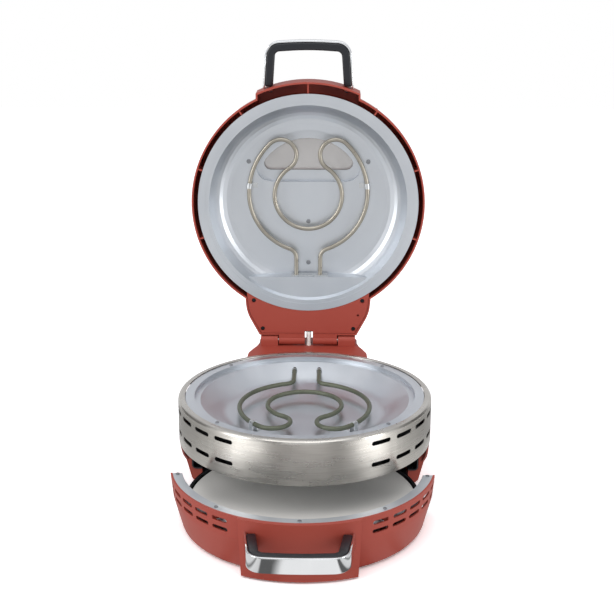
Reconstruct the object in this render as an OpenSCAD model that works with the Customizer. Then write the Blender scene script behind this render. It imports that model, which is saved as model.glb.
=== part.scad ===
// Round two-deck pizza oven: a fixed steel ring on a bowl-shaped base, a lower hearth that
// pulls out as a drawer, and a domed lid that hinges at the back.
// Millimetres. +X to the right, +Y to the back, +Z up. The origin is on the table, under the
// axis of the fixed ring.

/* [Pose] */
// How far the drawer is pulled out from closed
drawer_out = 101; // [0:1:150]
// How far the lid is turned open from closed
lid_open = 90; // [0:1:90]

/* [Lower bowl] */
// How much smaller the bowl's top edge is than the ring
bowl_step = 0.5; // [0:0.5:2]
// Height of the table under the bowl
bowl_z = 1.5; // [1.5:0.5:4]
// Wall of the moulded bowl and lid
wall = 2.5; // [2:0.1:3]
// Level of the knee where the bowl starts to draw in
knee_z = 46; // [40:1:52]
// How much smaller the bowl is at its knee
knee_in = 3; // [1:0.5:8]
// How much smaller the bowl is at its foot
foot_in = 14.5; // [12:0.5:16]
// Width of the bowl's floor inside its foot
bowl_lip = 10; // [8:0.5:10.5]
// Round of the bowl's foot edge
foot_round = 7.5; // [5:0.5:9]
// Round of the bowl's knee
knee_round = 35; // [20:1:46]
// How far in front of the ring's axis the two bowl halves part at the top
part_top = 32; // [24:1:40]
// How far behind the ring's axis the halves part at the foot
part_low = 7; // [2:1:14]
// Gap between the two halves when the drawer is shut
part_gap = 0.6; // [0.4:0.1:1.5]
// Thickness of the wall across the fixed half
bulkhead_t = 3; // [2:0.5:5]

/* [Bowl slots] */
// Length of a cooling slot in the bowl
bowl_slot_l = 24; // [14:1:26]
// Height of a cooling slot in the bowl
bowl_slot_h = 5.4; // [3:0.2:6]
// Angle of the first slot from the front
bowl_slot_angle = 34.7; // [32:0.1:40]
// Angle from one slot to the next
bowl_pitch_angle = 10.3; // [9.6:0.1:11]
// Slots in a row on each side of the drawer
bowl_slot_n = 5; // [3:1:5]
// Depth of the upper row under the bowl's edge
bowl_slot_top = 10.5; // [8:0.5:16]
// Distance from the upper row to the lower row
bowl_slot_step = 12.2; // [9:0.1:16]

/* [Steel ring] */
// Outer radius of the brushed steel band
band_r = 175; // [172:0.5:180]
// Level of the band's lower edge
band_z = 79.5; // [78.5:0.5:90]
// Height of the band
band_h = 61; // [56:0.5:70]
// Sheet of the band
band_t = 1; // [0.8:0.1:1.5]
// Width of the rolled top edge
band_lip = 9.5; // [7:0.5:10]
// Radius of the roll at the top edge
band_roll = 5; // [3:0.5:6]
// Length of a slot in the band
band_slot_l = 30; // [20:1:34]
// Height of a slot in the band
band_slot_h = 5.8; // [3:0.2:7]
// Angle of the band's first slot from the front
band_slot_angle = 35.5; // [32:0.1:38]
// Angle from one band slot to the next
band_pitch_angle = 13.5; // [12.5:0.1:14]
// Slots in a row on each side of the front
band_slot_n = 4; // [2:1:4]
// Height of the lower row over the band's lower edge
band_slot_low = 18.8; // [12:0.2:22]
// Depth of the upper row under the band's top
band_slot_high = 13; // [11:0.5:16]
// Space between the band and the black drum inside it
drum_in = 13; // [12:0.5:15]
// Sheet of the black drum and the liners
sheet = 1.2; // [1:0.1:1.5]

/* [Upper pan] */
// Sheet of the pressed aluminium pans
pan_t = 1; // [0.8:0.1:1.2]
// Gap between the band's rolled edge and the pan
pan_gap = 0.6; // [0.4:0.1:1]
// How far the pan's flange lies under the band's top
pan_sink = 1.3; // [1:0.1:3]
// Distance from the band's outside to the stone recess
seat_in = 22.5; // [22:0.5:24]
// Depth of the stone recess
seat_h = 5.5; // [4:0.5:7]
// Width of the seat that carries a stone
seat_w = 8; // [6:0.5:10]
// Depth of the pan's floor under the recess
pan_bowl_h = 20; // [17:1:21]
// How far the pan's slope would reach in to its floor
pan_slope = 32.5; // [28:0.5:38]
// Radius of the blend from slope to floor
pan_blend = 24; // [16:1:26]

/* [Heaters] */
// Radius of a heating tube
tube_r = 3.2; // [2.5:0.1:3.5]
// Inner loop's radius as a share of the heater's shoulder
loop_share = 0.4857; // [0.45:0.0001:0.5]
// How far each half of the inner loop turns
loop_angle = 146.4; // [140:0.2:150]
// Radius of the curl beside the loop, as the same share
curl_share = 0.2238; // [0.2:0.0001:0.23]
// How far the curl turns
curl_angle = 190.4; // [184:0.2:196]
// Room between the heater's shoulder radius and the pan's slope
heater_room = 7; // [5:0.5:12]
// Radius of the long outer bend, as the same share
waist_share = 0.8667; // [0.8:0.0001:0.9]
// How far the outer bend turns
waist_angle = 71; // [70:0.5:75]
// Bend radius where the tube turns into its leg, as the same share
leg_bend_share = 0.14; // [0.1:0.001:0.15]
// How far the pans' heaters sit in front of the ring's axis
heater_shift = 9; // [5:0.5:12]
// How far the lid's heater sits in front of the lid's axis
lid_heater_shift = 10; // [5:0.5:12]
// Height of the heater under the drawer's stone over its reflector
hearth_heater_h = 6.8; // [6.6:0.1:7.2]
// Height of the heater over the drawer's stone above the band's edge
ceiling_heater_h = 9.3; // [8.5:0.1:11]
// Height of the upper pan's heater over the pan's floor
pan_heater_h = 11; // [9:0.5:14]
// Distance of the lid's heater under the reflector's ceiling
lid_heater_drop = 12; // [10:0.5:14]
// Sheet of the heater clips
clip_t = 1; // [0.8:0.1:1.2]
// Width of a heater clip
clip_w = 8; // [6:0.5:10]

/* [Lower hearth] */
// Play of the drawer's pizza stone in its carrier
stone_play = 2.7; // [1.5:0.1:4]
// Thickness of the pizza stone
stone_h = 9; // [8:0.5:10]
// Bevel on the stone's edges
stone_bevel = 1.5; // [0.5:0.5:2.5]
// Gap between the slide rails and the carrier ring
carrier_rise = 2.2; // [2:0.1:3]
// Gap between the rear liner and the carrier ring
carrier_gap = 4.8; // [4:0.1:6]
// Height of the carrier ring
carrier_h = 12.5; // [11:0.5:14]
// Sheet of the carrier's ledge
carrier_t = 1.5; // [1.2:0.1:2]
// Thickness of the carrier's upright edge
carrier_edge = 2.3; // [1.5:0.1:2.8]
// Width of the carrier's ledge
carrier_ledge = 17.6; // [14:0.2:20]
// Distance from the bowl's top edge to the rear liner
liner_in = 14.1; // [13.5:0.1:15]
// Distance of the rear liner's floor under the carrier
liner_drop = 1.5; // [1.4:0.1:1.6]
// Round of the liner's lower edge
liner_round = 5.6; // [3:0.2:5.8]
// Distance from the bowl's lip to the opening in the fixed half
hearth_in = 3.5; // [2.5:0.5:4]
// Gap round the reflector under the stone
reflector_gap = 3.5; // [2.5:0.5:6]
// Width of that reflector's flange
reflector_flange = 15; // [12:0.5:18]
// Depth of that reflector
reflector_h = 3.1; // [2.5:0.1:3.5]
// Distance of the slide rails from the reflector's edge
rail_in = 35; // [31:0.5:38]
// How far inside the bowl's top edge the rails end in front
rail_front_in = 18.7; // [18.5:0.1:21]
// How far inside the bowl's top edge the rails end at the back
rail_back_in = 25.9; // [25:0.1:30]
// Outside width of a slide rail
rail_w = 11; // [10:0.5:12]
// Height of a slide rail
rail_h = 10; // [9:0.1:10.4]
// Sheet of a slide rail
rail_t = 1.5; // [1.2:0.1:1.8]
// Running clearance of the drawer's runners
rail_play = 0.35; // [0.3:0.05:0.5]
// How much shorter each end of a runner is than the rail's rear end
runner_in = 1; // [0.5:0.5:4]

/* [Drawer front] */
// How much wider the flat front is than the handle, each side
front_side = 8; // [6:0.5:12]
// How far the drawer's flat front stands out from the bowl
front_out = 4; // [2.5:0.5:7]
// How much narrower the flat front is at its foot, each side
front_taper = 3.7; // [1:0.1:8]
// Width of the aluminium rim inside the drawer's edge
rim_w = 12.5; // [10:0.5:14]
// Depth of the rim under the drawer's edge
rim_sink = 0.8; // [0.5:0.1:1.5]
// Height of the rim's turned down inner edge over the stone's underside
rim_rise = 14; // [13:0.5:30]
// Gap between the drawer's edge and the ring above it
drawer_gap = 1.8; // [1.2:0.1:2.5]

/* [Lid] */
// Gap between the shut lid and the ring
lid_gap = 0.5; // [0.4:0.1:1.5]
// Height of the lid
lid_h = 62; // [60:1:70]
// Height of the lid's shoulder
lid_shoulder_h = 44; // [38:1:48]
// How much smaller the lid is at its shoulder
lid_shoulder_in = 3; // [1:0.5:8]
// How much smaller the flat crown is than the lid
crown_in = 47; // [40:1:50]
// Round of the lid's shoulder
shoulder_round = 30; // [20:1:34]
// Round of the crown's edge
crown_round = 60; // [30:1:70]
// How much wider the lid's handle boss is than the handle, each side
boss_side = 9.8; // [8:0.2:13]
// How far the lid's handle boss stands out from the lid
boss_out = 7.3; // [6:0.1:12]
// Height of the handle boss and of the tail
boss_h = 46; // [44:0.5:50]
// Number of ribs round the lid, if they ran all the way
rib_n = 10; // [6:2:12]
// Thickness of a rib
rib_t = 2; // [1.5:0.1:3]
// Height of a rib
rib_h = 30; // [20:1:36]

/* [Lid reflector] */
// Distance from the lid's outside to the reflector's flange
refl_in = 9.5; // [9:0.5:11]
// Distance from the flange's edge to its fine step
refl_step_in = 10; // [8:0.2:13]
// Height of the fine step
refl_step = 0.8; // [0.4:0.1:1.2]
// Width of the reflector's flange
refl_flange = 16.3; // [15:0.1:20]
// How far the reflector's side would reach in to its ceiling
refl_slope = 13.2; // [10:0.1:18]
// Blend from the side to the ceiling
refl_blend = 28; // [20:1:32]
// Depth of the reflector
refl_h = 32; // [30:0.5:34]
// Distance from there to the ledge for the heater's legs
ledge_in = 22; // [20:0.5:24]
// Level of that ledge over the lid's rim
ledge_h = 7.5; // [6:0.5:9]
// Width of the heater's terminal plate
plate_w = 56; // [50:1:60]
// Height of the terminal plate
plate_h = 17; // [14:0.5:19]

/* [Window] */
// Radius of the window's arch
arch_r = 82.3; // [80:0.1:84]
// Distance from the reflector's ceiling edge to the top of the window
arch_in = 41.2; // [38:0.1:46]
// Height of the window
window_h = 48.8; // [44:0.1:52]
// Round of the window's corners
sill_round = 10; // [6:0.5:12]
// How much wider the pressed surround's arch is
surround_wide = 4.5; // [3:0.1:6]
// How far the surround reaches over the window
surround_over = 13.6; // [11:0.1:16]
// How far the surround reaches under the window
surround_under = 16.7; // [13:0.1:20]
// Round of the surround's corners
surround_round = 22; // [16:1:24]
// Depth of the surround over the ceiling
surround_h = 9; // [6:0.5:11]
// Thickness of the glass
glass_t = 4; // [3:0.5:5]
// Thickness of the gasket under the glass
gasket_t = 1.5; // [1:0.1:2]
// How far the glass reaches past the opening
glass_lap = 4; // [3:0.5:5]

/* [Hinge and tail] */
// Distance of the hinge behind the ring
hinge_back = 39.2; // [37:0.2:43]
// Height of the hinge over the lid's rim
hinge_rise = 4.7; // [4.5:0.1:7]
// Outer radius of the hinge barrels
barrel_r = 7.5; // [6.5:0.1:8]
// Radius of the hinge pins
pin_r = 3; // [2.5:0.1:4]
// Running clearance round a pin
pin_play = 0.05; // [0.02:0.01:0.1]
// Half the width of the lid's barrel
lid_barrel = 45; // [40:0.5:48]
// How far inside the tower's sides the hinge barrels end
barrel_in = 3; // [2:0.5:6]
// Side gap between the barrels
barrel_gap = 1.5; // [1:0.1:3]
// Half the width of the gap that the cable passes through
cable_slot = 6.2; // [5:0.1:8]
// Place of the cable from the middle
cable_x = 1.2; // [-4:0.2:4]
// Radius of the sleeved cable
cable_r = 3.8; // [3:0.1:4.2]
// Gap between the tail's end and the hinge's axis
tail_gap = 9.2; // [8.6:0.1:11]
// Half the width of the tail where it leaves the lid
tail_half = 96.8; // [94:0.2:100]
// How much the tail narrows to its end, each side
tail_taper = 21.9; // [18:0.1:26]
// Round of the tail's sides
tail_side_round = 60; // [20:1:80]
// Depth of the tail's cover inside its edge
cover_sink = 0.8; // [0.3:0.1:1.5]
// Thickness of the tail's cover
cover_t = 2.5; // [2:0.1:3]

/* [Rear tower] */
// Depth of the tower behind the hinge's axis
tower_back = 36; // [32:1:44]
// Half the width of the tower's back
tower_half = 76; // [74:1:82]
// How much wider the tower is at the ring, each side
tower_flare = 15.5; // [12:0.5:24]
// Wall of the tower
tower_wall = 3; // [2.5:0.1:4]
// Depth of the deck under the lid's rim
deck_drop = 3.4; // [3.2:0.1:4.5]
// Gap between the open lid and its stop
stop_gap = 0.3; // [0.2:0.1:0.6]
// Half the width of a lid stop
stop_half = 22; // [14:1:26]
// Distance of the lid stops from the middle
stop_x = 46; // [42:1:50]
// Radius of a rubber foot
foot_r = 11; // [9:0.5:14]
// Radius of the hole through the cord gland
gland_hole_r = 4; // [3:0.5:5]
// Outer radius of the cord gland's body
gland_r = 7; // [6.5:0.5:9]
// Height of the cord gland over the table
gland_z = 26; // [22:1:34]

/* [Handles] */
// Half the width of a handle at its feet
grip_half = 67; // [63:0.5:70]
// How much narrower the lid's handle is at its front, each side
lid_grip_taper = 4; // [2:0.5:9]
// How far the lid's handle stands out
lid_reach = 56.3; // [48:0.1:60]
// How much narrower the drawer's handle is at its front, each side
drawer_grip_taper = 7.5; // [4:0.5:9]
// How far the drawer's handle stands out
drawer_reach = 51.3; // [46:0.1:58]
// How far a handle's front bows out
grip_bow = 3.5; // [1:0.1:6]
// Height of a handle's bar
grip_h = 20.5; // [18:0.5:25]
// Thickness of the chrome strap
strap_t = 2.6; // [2:0.1:4.5]
// Thickness of the black grip inside the strap
grip_t = 12; // [8:0.5:13]
// Outer round of a handle's corners
grip_round = 22; // [16:1:24]
// Level of the drawer's handle
drawer_grip_z = 53; // [44:0.5:56]
// Level of the lid's handle over its rim
lid_grip_h = 24; // [20:0.5:30]

/* [Controls and screws] */
// Distance of the knobs from the middle
knob_x = 45; // [38:1:52]
// Distance of the knobs from the tail's end
knob_in = 28; // [24:1:34]
// Radius of a knob
knob_r = 16; // [12:0.5:19]
// Height of a knob
knob_h = 15; // [11:0.5:18]
// Distance of the pilot lamps from the middle
lamp_x = 14; // [11:1:18]
// Radius of a pilot lamp
lamp_r = 4; // [3:0.5:5]
// Radius of a screw's head
screw_r = 3.4; // [2.8:0.1:4]
// Height of a screw's head
screw_h = 1.8; // [1.2:0.1:2.4]

/* [Hidden] */
$fn = 96;
overrun = 1;
round_steps = 5;
quarter_angle = 90;

// Colours
terracotta = "#a44c3d";
aluminium = "#b9bfc6";
steel = "#c2bfb8";
black = "#26272b";
olive = "#5c6150";
nickel = "#a39e93";
stone_white = "#d4d1c7";
chrome = "#dfe2e4";
rubber = "#303030";
zinc = "#c9ccd0";

// Radii and places that follow the ring
bowl_r = band_r - bowl_step;
bowl_lip_r = bowl_r - foot_in - bowl_lip;
drum_r = band_r - drum_in;
seat_r = band_r - seat_in;
pan_bowl_r = seat_r - seat_w;
pan_floor_r = pan_bowl_r - pan_slope;
shoulder_r = pan_floor_r - heater_room;
loop_r = shoulder_r * loop_share;
curl_r = shoulder_r * curl_share;
waist_r = shoulder_r * waist_share;
leg_bend_r = shoulder_r * leg_bend_share;
liner_r = bowl_r - liner_in;
carrier_r = liner_r - carrier_gap;
carrier_hole_r = carrier_r - carrier_ledge;
stone_r = carrier_r - carrier_edge - stone_play;
hearth_r = bowl_lip_r - hearth_in;
reflector_r = hearth_r - reflector_gap;
rail_x = reflector_r - rail_in;
function rail_end(r) = sqrt(r * r - pow(rail_x + rail_w / 2, 2));
rail_front = rail_end(bowl_r - rail_front_in);
rail_back = rail_end(bowl_r - rail_back_in);
rail_l = rail_front + rail_back;
runner_half = rail_back - runner_in;
front_r = bowl_r + front_out;
lid_r = band_r;
crown_r = lid_r - crown_in;
boss_r = lid_r + boss_out;
refl_r = lid_r - refl_in;
refl_step_r = refl_r - refl_step_in;
refl_bowl_r = refl_r - refl_flange;
refl_top_r = refl_bowl_r - refl_slope;
ledge_y = refl_top_r - ledge_in;
hinge_y = band_r + hinge_back;
arch_y = refl_top_r - arch_in - arch_r;
sill_y = arch_y + arch_r - window_h;
surround_r = arch_r + surround_wide;
surround_y = arch_y + arch_r + surround_over - surround_r;
surround_sill = sill_y - surround_under;
boss_half = grip_half + boss_side;
front_half = grip_half + front_side;
tail_end_half = tail_half - tail_taper;
base_barrel = tower_half - barrel_in;
tower_front_half = tower_half + tower_flare;

// Levels
plate_z = bowl_z + wall;
plate_t = 1.2;
drawer_top = band_z - drawer_gap;
band_top = band_z + band_h;
flange_z = band_top - pan_sink;
seat_z = flange_z - seat_h;
floor_z = seat_z - pan_bowl_h;
rim_z = band_top + lid_gap;
hinge_z = rim_z + hinge_rise;
deck_z = rim_z - deck_drop;
ceiling_z = rim_z + refl_h;
tail_end_y = hinge_y - tail_gap;
tail_top = rim_z + boss_h;
reflector_z = plate_z + plate_t;
rail_z = reflector_z + reflector_h + pan_t;
carrier_z = rail_z + rail_h + carrier_rise;
hearth_heater_z = reflector_z + pan_t + hearth_heater_h;
ceiling_heater_z = band_z + sheet + ceiling_heater_h;
liner_z = carrier_z - liner_drop;
stone_z = carrier_z + carrier_t;
pan_heater_z = floor_z + pan_heater_h;
lid_heater_z = ceiling_z - lid_heater_drop;

// Points of an outline whose corners are rounded by the given radii
function unit(v) = v / norm(v);
function corner(a, b, c, r) =
    let (u = unit(a - b), v = unit(c - b), half = acos(max(-1, min(1, u * v))) / 2,
         most = min(norm(a - b), norm(c - b)) * tan(half) / 2, q = min(r, most),
         m = b + unit(u + v) * q / sin(half), p = b + u * q / tan(half), w = b + v * q / tan(half),
         t0 = atan2(p[1] - m[1], p[0] - m[0]), t1 = atan2(w[1] - m[1], w[0] - m[0]),
         turn = t1 - t0 > 180 ? t1 - t0 - 360 : t1 - t0 < -180 ? t1 - t0 + 360 : t1 - t0)
    [for (i = [0:round_steps]) m + q * [cos(t0 + turn * i / round_steps), sin(t0 + turn * i / round_steps)]];
function rounded(pts, radii) =
    let (n = len(pts))
    [for (i = [0:n - 1])
        each radii[i] > 0 ? corner(pts[(i + n - 1) % n], pts[i], pts[(i + 1) % n], radii[i]) : [pts[i]]];
function mirrored(half) =
    concat(half, [for (i = [len(half) - 1:-1:0]) [-half[i][0], half[i][1]]]);

// Where each moving assembly stands
module on_drawer() translate([0, -drawer_out, 0]) children();
module on_lid()
    translate([0, hinge_y, hinge_z]) rotate([-lid_open, 0, 0])
        translate([0, -hinge_y, -hinge_z]) children();

module disc(r, z, h) translate([0, 0, z]) cylinder(h = h, r = r);
module ring(r_out, r_in, z, h)
    difference() {
        disc(r_out, z, h);
        disc(r_in, z - overrun, h + 2 * overrun);
    }
module side_prism(width, pts)
    translate([-width / 2, 0, 0]) rotate([90, 0, 90]) linear_extrude(width) polygon(pts);
module front_prism(y, depth, pts)
    translate([0, y + depth, 0]) rotate([90, 0, 0]) linear_extrude(depth) polygon(pts);
module stadium(length, height) {
    square([length - height, height], center = true);
    for (s = [-1, 1]) translate([s * (length - height) / 2, 0]) circle(d = height, $fn = 24);
}
module wall_slots(angles, levels, r, depth, length, height)
    for (a = angles, z = levels)
        rotate([0, 0, a]) translate([0, depth / 2 - r, z]) rotate([90, 0, 0])
            linear_extrude(depth) stadium(length, height);
function slot_angles(first, pitch, n) = [for (s = [-1, 1], i = [0:n - 1]) s * (first + i * pitch)];
function rear_angles(first, pitch, n) = [for (a = slot_angles(first, pitch, n)) 180 - a];
module screw(r = screw_r, h = screw_h) cylinder(h = h, r1 = r, r2 = r * 0.7, $fn = 24);

// Bent heating tubes. Each bend is a radius and a turn, positive to the left. One half starts
// at the loop's rear and its mirror image makes the other.
half_heater = [
    [loop_r, loop_angle],
    [curl_r, -curl_angle],
    [shoulder_r, curl_angle - loop_angle - quarter_angle],
    [waist_r, -waist_angle],
    [leg_bend_r, waist_angle]
];
heater_start = [0, loop_r, 180];
function bend_centre(s, b) = [s[0], s[1]] + sign(b[1]) * b[0] * [-sin(s[2]), cos(s[2])];
function bend_end(s, b) =
    let (c = bend_centre(s, b), h = s[2] + b[1], p = c - sign(b[1]) * b[0] * [-sin(h), cos(h)])
    [p[0], p[1], h];
function after_bends(n) = n == 0 ? heater_start : bend_end(after_bends(n - 1), half_heater[n - 1]);
leg = after_bends(len(half_heater));
// Each bend stops a hair short of the next, and a ring a hair thicker joins the two
seam = 0.4;
seam_rise = 0.06;
module bend(s, b)
    let (trim = seam / 4 / b[0] * 180 / PI)
        translate(concat(bend_centre(s, b), 0))
            rotate([0, 0, s[2] - sign(b[1]) * 90 + min(0, b[1]) + trim])
                rotate_extrude(angle = abs(b[1]) - 2 * trim, $fn = 72)
                    translate([b[0], 0]) circle(r = tube_r, $fn = 24);
module seam_ring(s)
    translate([s[0], s[1], 0]) rotate([90, 0, s[2] - 90])
        cylinder(h = 2 * seam, r = tube_r + seam_rise, center = true, $fn = 24);
module heater(z, shift, leg_to)
    translate([0, -shift, z]) {
        seam_ring(heater_start);
        for (s = [0, 1]) mirror([s, 0, 0]) {
            for (i = [0:len(half_heater) - 1]) bend(after_bends(i), half_heater[i]);
            for (i = [1:len(half_heater)]) seam_ring(after_bends(i));
            translate([leg[0], leg[1] + seam / 4, 0]) rotate([-90, 0, 0])
                cylinder(h = leg_to + shift - leg[1] - seam / 4, r = tube_r, $fn = 24);
        }
    }
module leg_holes(z, r, from_y, to_y)
    for (s = [-1, 1])
        translate([s * leg[0], from_y, z]) rotate([-90, 0, 0]) cylinder(h = to_y - from_y, r = r, $fn = 32);

// A clip straddles the shoulder bend, a share of the way along it, and stands on a level below
clip_play = 0.1;
clip_out = tube_r + clip_play + clip_t;
clip_foot = clip_w;
module clip_shape(drop)
    difference() {
        union() {
            circle(r = clip_out, $fn = 32);
            translate([-clip_out, -drop]) square([2 * clip_out, drop]);
            translate([-clip_out - clip_foot, -drop]) square([clip_foot + clip_out, clip_t]);
        }
        circle(r = tube_r + clip_play, $fn = 32);
        translate([-tube_r - clip_play, -drop - overrun]) square([2 * (tube_r + clip_play), drop + overrun]);
    }
module clips(z, shift, drop, share, flip)
    for (s = [0, 1]) mirror([s, 0, 0]) {
        at = bend_end(after_bends(2), [half_heater[2][0], half_heater[2][1] * share]);
        translate([at[0], at[1] - shift, z]) rotate([0, 0, at[2] - 90]) mirror([0, 0, flip])
            mirror([1, 0, 0]) translate([0, clip_w / 2, 0]) rotate([90, 0, 0])
                linear_extrude(clip_w) clip_shape(drop);
    }

// Lower bowl
function bowl_side(inset, top) =
    let (foot = max(foot_round - inset, overrun))
    rounded([[0, bowl_z + inset], [bowl_r - foot_in - inset, bowl_z + inset],
             [bowl_r - knee_in - inset, knee_z], [bowl_r - inset, top], [0, top]],
            [0, foot, knee_round - inset, 0, 0]);
module bowl(inset, top) rotate_extrude() polygon(bowl_side(inset, top));
slant_low = carrier_z + carrier_h;
slant_top = band_z - bowl_z;
module front_half_space(shift)
    side_prism(4 * bowl_r, [[-2 * bowl_r, -bowl_r], [part_low + shift, -bowl_r],
                            [part_low + shift, slant_low], [-part_top + shift, slant_top],
                            [-part_top + shift, bowl_r], [-2 * bowl_r, bowl_r]]);
module front_pad(r, half, z, top, taper = 0)
    intersection() {
        disc(r, z, top - z);
        front_prism(-2 * r, 2 * r - bowl_r / 2,
                    [[taper - half, z - overrun], [half - taper, z - overrun],
                     [half, top + overrun], [-half, top + overrun]]);
    }
rim_boss_r = 4.7;
rim_r = bowl_r - wall - pan_gap / 2;
rim_hole_r = rim_r - rim_w;
rim_top = drawer_top - rim_sink;
rim_under = rim_top - pan_t;
rim_low = stone_z + rim_rise;
rim_screw_angles = [-78, -38.6, 0, 38.6, 78];
rim_screw_r = rim_r - rim_w / 2;
tab_angles = [for (s = [-1, 1], a = [32, 58]) s * a];
tab_w = 22;
tab_h = 3 * wall;
module drawer_shell()
    color(terracotta) on_drawer() {
        difference() {
            intersection() {
                union() {
                    bowl(0, drawer_top);
                    front_pad(front_r, front_half, bowl_z + overrun, drawer_top, front_taper);
                }
                front_half_space(-part_gap / 2);
            }
            bowl(wall, drawer_top + overrun);
            front_pad(front_r - wall, front_half - wall, bowl_z + overrun + wall, drawer_top - wall, front_taper);
            disc(bowl_lip_r, -overrun, plate_z + 2 * overrun);
            wall_slots(slot_angles(bowl_slot_angle, bowl_pitch_angle, bowl_slot_n),
                       [drawer_top - bowl_slot_top, drawer_top - bowl_slot_top - bowl_slot_step],
                       bowl_r, 6 * wall, bowl_slot_l, bowl_slot_h);
        }
        for (a = rim_screw_angles) rotate([0, 0, a]) {
            translate([0, -rim_screw_r, rim_under - rim_w]) cylinder(h = rim_w, r = rim_boss_r, $fn = 32);
            translate([-rib_t / 2, -bowl_r + wall / 2, rim_under - rim_w])
                cube([rib_t, bowl_r - wall / 2 - rim_screw_r, rim_w]);
        }
        handle_bosses(front_r, drawer_grip_z);
        intersection() {
            bowl(wall / 2, drawer_top);
            for (a = tab_angles) rotate([0, 0, a])
                translate([-tab_w / 2, -bowl_r, carrier_z - tab_h])
                    cube([tab_w, knee_in + 6 * wall, tab_h]);
        }
    }
module drawer_rim()
    color(aluminium) on_drawer()
        intersection() {
            union() {
                ring(rim_r, rim_hole_r, rim_under, pan_t);
                ring(rim_hole_r + pan_t, rim_hole_r, rim_low, rim_top - rim_low);
            }
            front_half_space(-part_gap / 2);
        }
module rim_screws()
    color(zinc) on_drawer()
        for (a = rim_screw_angles) rotate([0, 0, a])
            translate([0, -rim_screw_r, rim_top]) screw(screw_r * 0.8, screw_h * 0.6);

// Drawer inside: carrier ring, runners and stone
module stone_carrier()
    color(black) on_drawer() {
        ring(carrier_r, carrier_hole_r, carrier_z, carrier_t);
        ring(carrier_r, carrier_r - carrier_edge, carrier_z, carrier_h);
        for (a = tab_angles) rotate([0, 0, a])
            translate([-tab_w / 2 + overrun, -bowl_r + knee_in + 4 * wall, carrier_z])
                cube([tab_w - 2 * overrun, bowl_r - knee_in - 4 * wall - carrier_r + carrier_edge, carrier_t]);
    }
runner_w = 2.4;
runner_foot_h = 2;
runner_foot_w = rail_w - 2 * rail_t - 2 * rail_play;
module drawer_runners()
    color(steel) on_drawer()
        for (s = [-1, 1]) translate([s * rail_x, -runner_half, 0]) {
            translate([-runner_foot_w / 2, 0, rail_z + rail_t + rail_play])
                cube([runner_foot_w, 2 * runner_half, runner_foot_h]);
            translate([-runner_w / 2, 0, rail_z + rail_t + rail_play])
                cube([runner_w, 2 * runner_half, carrier_z - rail_z - rail_t - rail_play]);
        }
module pizza_stone()
    color(stone_white) on_drawer()
        rotate_extrude()
            polygon([[0, stone_z], [stone_r - stone_bevel, stone_z], [stone_r, stone_z + stone_bevel],
                     [stone_r, stone_z + stone_h - stone_bevel], [stone_r - stone_bevel, stone_z + stone_h],
                     [0, stone_z + stone_h]]);

// Fixed half of the bowl with its cross wall, and the liner behind it
bulkhead_y = part_low + part_gap / 2;
function liner_side(grow) =
    rounded([[0, liner_z - grow], [liner_r + grow, liner_z - grow], [liner_r + grow, 2 * band_z], [0, 2 * band_z]],
            [0, liner_round + grow, 0, 0]);
module liner_solid(grow) rotate_extrude() polygon(liner_side(grow));
wire_port_half = abs(leg[0]) + 4 * tube_r;
module wire_port(z, h)
    translate([-wire_port_half, seat_r, z]) cube([2 * wire_port_half, 3 * band_lip, h]);
module rear_shell()
    color(terracotta)
        difference() {
            union() {
                difference() {
                    bowl(0, band_z);
                    bowl(wall, band_z + overrun);
                }
                intersection() {
                    bowl(0, band_z);
                    translate([-bowl_r, bulkhead_y, 0]) cube([2 * bowl_r, bulkhead_t, band_z]);
                }
            }
            front_half_space(part_gap / 2);
            disc(bowl_lip_r, -overrun, plate_z + overrun);
            liner_solid(part_gap);
            disc(hearth_r, 0, band_z);
            wall_slots(rear_angles(bowl_slot_angle + bowl_pitch_angle, bowl_pitch_angle, bowl_slot_n - 1),
                       [drawer_top - bowl_slot_top, drawer_top - bowl_slot_top - bowl_slot_step],
                       bowl_r, 6 * wall, bowl_slot_l, bowl_slot_h);
            wire_port(plate_z + 2 * plate_t, liner_z - plate_z - 3 * plate_t);
            translate([-tongue_half - part_gap, part_top, plate_z])
                cube([2 * (tongue_half + part_gap), bowl_r, plate_t + part_gap / 2]);
        }
module rear_liner()
    color(black)
        difference() {
            intersection() {
                liner_solid(0);
                translate([-bowl_r, bulkhead_y, 0]) cube([2 * bowl_r, bowl_r, band_z - part_gap]);
            }
            liner_solid(-sheet);
            disc(hearth_r, 0, band_z);
        }

// Underside
plate_front_r = hearth_r - wall;
plate_rear_r = bowl_r - foot_in - foot_round;
tongue_half = tower_half - 2 * tower_wall;
tower_back_y = hinge_y + tower_back;
foot_angle = 49.9;
foot_inset = 19.8;
foot_front = (plate_front_r - foot_inset) * [sin(foot_angle), -cos(foot_angle)];
foot_rear = [tongue_half - 1.5 * foot_r, tower_back_y - 2.5 * foot_r];
module base_plate()
    color(steel)
        difference() {
            union() {
                disc(plate_front_r, plate_z, plate_t);
                intersection() {
                    disc(plate_rear_r, plate_z, plate_t);
                    translate([-bowl_r, bulkhead_y + bulkhead_t + overrun, 0]) cube(2 * bowl_r);
                }
                translate([-tongue_half, part_top, plate_z])
                    cube([2 * tongue_half, tower_back_y - 2 * tower_wall - part_top, plate_t]);
            }
            for (x = [-rail_x / 2, 0, rail_x / 2], y = [-part_top, part_top])
                translate([x, y, 0]) cylinder(h = band_z, r = wall, $fn = 24);
        }
module feet()
    color(rubber)
        for (s = [-1, 1], p = [foot_front, foot_rear])
            translate([s * p[0], p[1], 0]) cylinder(h = plate_z, r1 = foot_r - overrun, r2 = foot_r, $fn = 48);
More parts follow.
